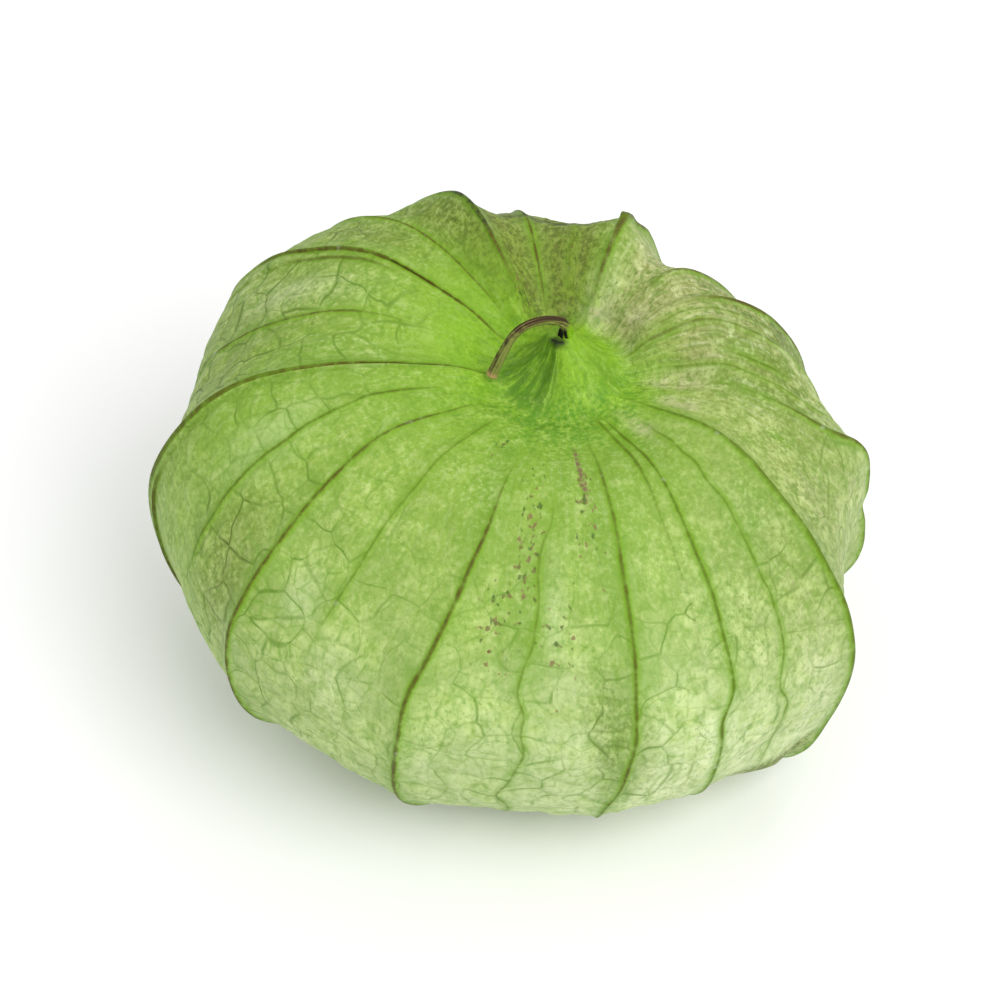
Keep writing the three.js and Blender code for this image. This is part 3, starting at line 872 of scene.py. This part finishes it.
def husk_finish():
    """The husk's paper: leaf green that is painted darker toward the top as shade, yellower near the stem
    and paler at the flanks, both partly painted light, with mottling, the net of veins, the ribs' dark
    lines with a green edge, and specks."""
    mat = Finish("husk_paper")
    times, plus, minus, step, noise = mat.times, mat.plus, mat.minus, mat.step, mat.noise
    mix, coat, place = mat.mix, mat.coat, mat.millimetres()
    away, ink, brown = mat.data("line")
    young, pale, olive = mat.data("tone")
    dusty, speckled, netted = mat.data("marks")
    azimuth, run, station = mat.data("place")
    shady, deep, blush = mat.data("shade")
    root, grassy, crumpled = mat.data("rough")

    def along(azimuth_scale, run_scale):
        """A place for noise that runs with the husk: its azimuth and run, scaled."""
        inputs = {0: times(azimuth, azimuth_scale), 1: times(run, run_scale)}
        return mat.node("CombineXYZ", inputs)[0]

    # Broad colour.
    broad = noise(place, 0.16, 3, 0.55)
    patchy = noise(place, 0.55, 4, 0.6)
    mat.colour = mix(step(broad, 0.35, 0.68), LEAF_DEEP, LEAF)
    # Painted shade: darker green from the collar to the crest, easing out below it.
    coat(TOP_SHADE, step(station, 5.2, 3.2))
    # Partly the paper's own pale and partly painted highlight, at the flanks and in patches.
    coat(PALE, pale, step(patchy, 0.25, 0.62, 0.35, 1))
    coat(DUSTY, dusty, 0.85)
    # Partly the young paper's own colour and partly a painted glow of light through it.
    coat(YOUNG, young, 0.9)
    coat(OLIVE, olive, step(patchy, 0.2, 0.7, 0.6, 1))
    # Partly the paper's own deeper green and partly painted shade, as in the dip round the collar.
    coat(DEEP, deep, step(patchy, 0.3, 0.7, 0.85, 0.45))
    coat(BLUSH, blush, step(patchy, 0.35, 0.62, 0.25, 0.95))
    coat(TIP_BROWN, step(station, 10.4, 11.6, 0, 0.8))

    # Long fibres that run with the ribs, strongest where the paper is dusty.
    fibres = noise(along(0.75, 0.26), 1, 4, 0.62, 0.3)
    papery = times(dusty, step(station, 3, 4.2, 0.6, 0.95))
    paler = times(step(fibres, 0.52, 0.68), plus(0.1, times(papery, 0.42)))
    darker = times(step(fibres, 0.5, 0.36), plus(0.15, times(papery, 0.6)))
    coat(DUST, paler)
    coat(mix(dusty, CELL_GREEN, STRAW_SHADE), darker)
    streaks = noise(along(0.14, 0.45), 1, 4, 0.65)
    near_stem = step(station, 3.4, 2.2)
    coat(GREEN_SHADE, step(streaks, 0.52, 0.36), near_stem, 0.4)
    coat(STREAK_LIGHT, step(streaks, 0.55, 0.68), near_stem, 0.25)
    coat(COLLAR_SHADE, step(shady, 0, 0.5), step(streaks, 0.4, 0.66, 1, 0.35), 0.8)

    # Mottling of the paper at two sizes, a little longer down the husk than across.
    grain_place = mat.scaled(place, 1, 1, 0.75)
    coarse = noise(grain_place, 0.85, 2, 0.6)
    fine = noise(grain_place, 2.6, 3, 0.65, 0.2)
    rough_part = plus(1, times(olive, 0.7), times(dusty, 0.4))
    grainy = times(step(broad, 0.38, 0.62, 0.65, 1.1), rough_part)
    less_light = plus(times(young, 0.75), times(olive, 0.5))
    grown = times(minus(1, less_light), grainy)
    coat(MOTTLE_LIGHT, step(coarse, 0.5, 0.68), grown, 0.22)
    coat(CELL_GREEN, step(coarse, 0.5, 0.34), grown, 0.34)
    coat(MOTTLE_LIGHT, step(fine, 0.52, 0.68), grown, 0.27)
    coat(GREEN_SHADE, step(fine, 0.48, 0.33), grainy, 0.38)

    # The grassy ring round the collar, then crumpled paper with painted highlights and shade in blotches,
    # and olive and dusty paper.
    grass_grain = plus(times(fine, 0.5), times(coarse, 0.3), times(streaks, 0.2))
    coat(GRASS, step(grass_grain, 0.52, 0.43), grassy, 0.8)
    coat(STREAK_LIGHT, step(grass_grain, 0.55, 0.62), grassy, 0.5)

    # Painted light and shade of the crumples: pale highlights and dark green hollows in blotches.
    crumple_grain = plus(times(coarse, 0.7), times(streaks, 0.3))
    coat(PALE, step(crumple_grain, 0.53, 0.62), crumpled, 0.65)
    coat(CRUMB_GREEN, step(crumple_grain, 0.48, 0.4), crumpled, 0.65)
    coat(NET_BROWN, step(plus(fine, times(coarse, 0.5)), 0.86, 0.62), olive, 0.6)
    coat(STRAW_SHADE, step(fine, 0.5, 0.36), dusty, 0.45)

    # The net, in two sizes.
    unsteady = step(noise(place, 0.35, 3, 0.6), 0.34, 0.6, 0.5, 1)
    small_gap, small_strength = net_gap(mat, "small_net")
    small_strength = times(small_strength, netted, unsteady)
    small_line = times(step(small_gap, 0.12, 0), small_strength, 0.8)
    coat(mix(olive, CELL_GREEN, NET_GREEN), small_line)
    gap, strength = net_gap(mat, "net")
    strength = times(strength, netted, unsteady)
    half_width = plus(0.028, times(strength, 0.02))
    net_line = times(step(mat.math("DIVIDE", gap, half_width), 1.5, 0.2), step(strength, 0, 0.8))
    coat(CELL_GREEN, step(gap, 0.12, 0), strength, 0.22)
    net_colour = mix(times(olive, 1.5), NET_GREEN, NET_BROWN)
    coat(net_colour, net_line, step(fine, 0.35, 0.6, 0.6, 0.92))

    # The ribs and veins: a broad band of painted shade beside them, a vivid green edge that is partly the
    # veins' own green and partly painted shade on the keels' sides, a dark thread that changes its width
    # and colour along its length, and silvery glints on it, painted highlights where it catches the light.
    thread_noise = noise(place, 1, 3, 0.65)
    broken = step(thread_noise, 0.3, 0.6, 0.5, 0.95)
    # Painted shade: a broad band of deeper green in the hollows beside each rib.
    coat(DEEP, step(away, 2.4, 0.3), ink, step(patchy, 0.35, 0.65, 0.1, 0.5))
    # Partly the veins' own green and partly painted shade on the keels' sides.
    coat(HALO_GREEN, step(away, 0.62, 0.1), ink, step(thread_noise, 0.3, 0.7, 0.6, 1))
    width = plus(0.06, times(ink, step(thread_noise, 0.3, 0.72, 0.07, 0.16)))
    thread = times(step(mat.math("DIVIDE", away, width), 1.6, 0.1), step(ink, 0, 0.8), broken)
    browned = step(plus(brown, times(patchy, 1.4)), 0.95, 1.55)
    line_colour = mix(browned, LINE_GREEN, LINE_BROWN)
    line_colour = mix(step(times(ink, brown), 0.74, 0.9), line_colour, LINE_BLACK)
    coat(line_colour, thread)
    # Painted highlights: silvery glints along the threads.
    coat(GLINT_SILVER, step(noise(place, 0.45, 2, 0.6), 0.66, 0.78), step(away, 0.34, 0.05), ink, 0.7)

    # Crumb-like specks, dark green and purple-brown, longer down the husk than across.
    crumb_place = along(0.7, 1.3)
    crumbs = noise(crumb_place, 1.05, 1.5, 0.5)
    threshold = minus(0.69, times(speckled, 0.19))
    crumb = times(step(minus(crumbs, threshold), 0, 0.1), step(speckled, 0.02, 0.25))
    crumb_colour = mix(step(noise(crumb_place, 0.45, 2, 0.6), 0.44, 0.56), CRUMB_GREEN, CRUMB_PURPLE)
    coat(crumb_colour, crumb, 0.75)
    dot_edge = plus(mat.cells(place, 0.62), times(fine, 0.3))
    coat(DOT_BROWN, step(dot_edge, 0.3, 0.2), step(speckled, 0.25, 0.7), 0.7)

    # One narrow purple scar on the front.
    aside = mat.math("ABSOLUTE", minus(azimuth, plus(SCAR_AZIMUTH, times(run, SCAR_LEAN))))
    ends = step(run, SCAR_START, SCAR_START + 1), step(run, SCAR_END, SCAR_END - 2)
    scar = times(step(aside, 1.3, 0.3), *ends)
    coat(SCAR, scar, step(fine, 0.4, 0.55, 0.2, 0.85))
    # Near black: painted shadow under the stem's arch, and the dark rim of the back crest.
    coat(ROOT, root)

    mat.look("Base Color", mat.colour)
    mat.look("Specular IOR Level", 0.2)
    mat.look("Roughness", step(patchy, 0.3, 0.7, 0.5, 0.64))

    relief = plus(
        times(step(gap, 0, 0.16), 0.35),
        times(step(small_gap, 0, 0.2), 0.25),
        times(net_line, 0.3),
        times(coarse, 0.9),
        times(fine, 0.45),
    )
    mat.look("Normal", mat.raised(relief, 0.00012, 0.8))
    return mat.material


def stem_finish():
    """The stem's bark: purple-brown above and grey-green below, with long fibres, a pale cut end, and a
    foot painted near black on its inner side as the shadow under its arch, green on the other."""
    mat = Finish("stem_bark")
    times, plus, minus, step, noise = mat.times, mat.plus, mat.minus, mat.step, mat.noise
    mix, coat = mat.mix, mat.coat
    upper, cut, foot = mat.data("bark")
    normal = mat.node("NewGeometry", {})["Normal"]
    side = step(mat.node("SeparateXYZ", {0: normal})[0], -0.2, 0.5)
    grain = mat.vector("grain")
    place = mat.millimetres()
    fibre = noise(mat.scaled(grain, 5, 5, 0.5), 1, 4, 0.6)
    patchy = noise(place, 1.6, 3, 0.6)
    lit = step(plus(upper, times(minus(patchy, 0.5), 1.2)), 0.2, 0.75)
    mat.colour = mix(lit, STEM_OLIVE, STEM_BROWN)
    coat(STEM_STRAW, step(fibre, 0.52, 0.7, 0, 0.5))
    coat(STEM_BLACK, step(fibre, 0.5, 0.36, 0, 0.85))
    # Painted shadow: the foot near black on its inner side under the arch, and green where it meets the
    # collar.
    coat(mix(side, ROOT, YOUNG), foot)
    coat(CUT_WOOD, cut, 0.85)
    mat.look("Base Color", mat.colour)
    mat.look("Specular IOR Level", 0.15)
    mat.look("Roughness", step(fibre, 0.3, 0.7, 0.62, 0.8))
    mat.look("Normal", mat.raised(fibre, 0.00012, 0.9))
    return mat.material


def floor_finish():
    """A pale studio floor, very slightly uneven."""
    mat = Finish("floor")
    cloud = mat.noise(mat.millimetres(), 0.01, 2, 0.5)
    mat.look("Base Color", mat.mix(cloud, FLOOR_GREY, FLOOR_LIGHT))
    mat.look("Roughness", 0.9)
    return mat.material


# ---- the object

to_frame = fit_to_frame()

husk = husk_piece(to_frame)
husk.data.materials.append(husk_finish())
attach(husk, "root")
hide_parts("husk")

stem = stem_piece(to_frame)
stem.data.materials.append(stem_finish())
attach(stem, "root")
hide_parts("stem")

# ---- floor, lights and camera

low, high = (Vector(corner) for corner in cad_box)
size = high - low
middle = (low + high) / 2
WIDTH = size.x

floor_mesh = bpy.data.meshes.new("floor")
half = 40 * WIDTH
corners = [(-half, -half, 0), (half, -half, 0), (half, half, 0), (-half, half, 0)]
floor_mesh.from_pydata(corners, [], [(0, 1, 2, 3)])
floor = placed("floor", floor_mesh)
floor.data.materials.append(floor_finish())


def soft_light(name, azimuth, elevation, distance, across, watts):
    """A square area light that looks at the object's middle, with lengths in widths of the object."""
    lamp = bpy.data.lights.new(name, "AREA")
    lamp.size = across * WIDTH
    lamp.energy = watts * WIDTH**2
    light = placed(name, lamp)
    turn, lift = math.radians(azimuth), math.radians(elevation)
    toward = Vector((math.cos(turn) * math.cos(lift), math.sin(turn) * math.cos(lift), math.sin(lift)))
    light.location = middle + distance * WIDTH * toward
    light.rotation_euler = toward.to_track_quat("Z", "Y").to_euler()


soft_light("key", -50, 48, 9, 6, 560)
soft_light("fill", 200, 40, 10, 9, 150)
soft_light("back", 70, 50, 9, 6, 120)

world = bpy.data.worlds.new("studio")
world.use_nodes = True
sky = world.node_tree.nodes["Background"].inputs
sky["Color"].default_value = (1, 1, 1, 1)
sky["Strength"].default_value = 0.75
scene.world = world
scene.view_settings.view_transform = "Standard"

CAMERA_LOOKS_AT = Vector((0.49, 0.517, 0.473))  # as shares of the object's box
CAMERA_DISTANCE = 3.95  # in widths of the object
CAMERA_ELEVATION = math.radians(46)

camera_data = bpy.data.cameras.new("camera")
camera_data.sensor_width = 36
camera_data.lens = 100
camera_data.clip_start = 0.001
camera = placed("camera", camera_data)
target = low + Vector(a * b for a, b in zip(size, CAMERA_LOOKS_AT))
back = Vector((0, -math.cos(CAMERA_ELEVATION), math.sin(CAMERA_ELEVATION)))
camera.location = target + CAMERA_DISTANCE * WIDTH * back
camera.rotation_euler = back.to_track_quat("Z", "Y").to_euler()
scene.camera = camera
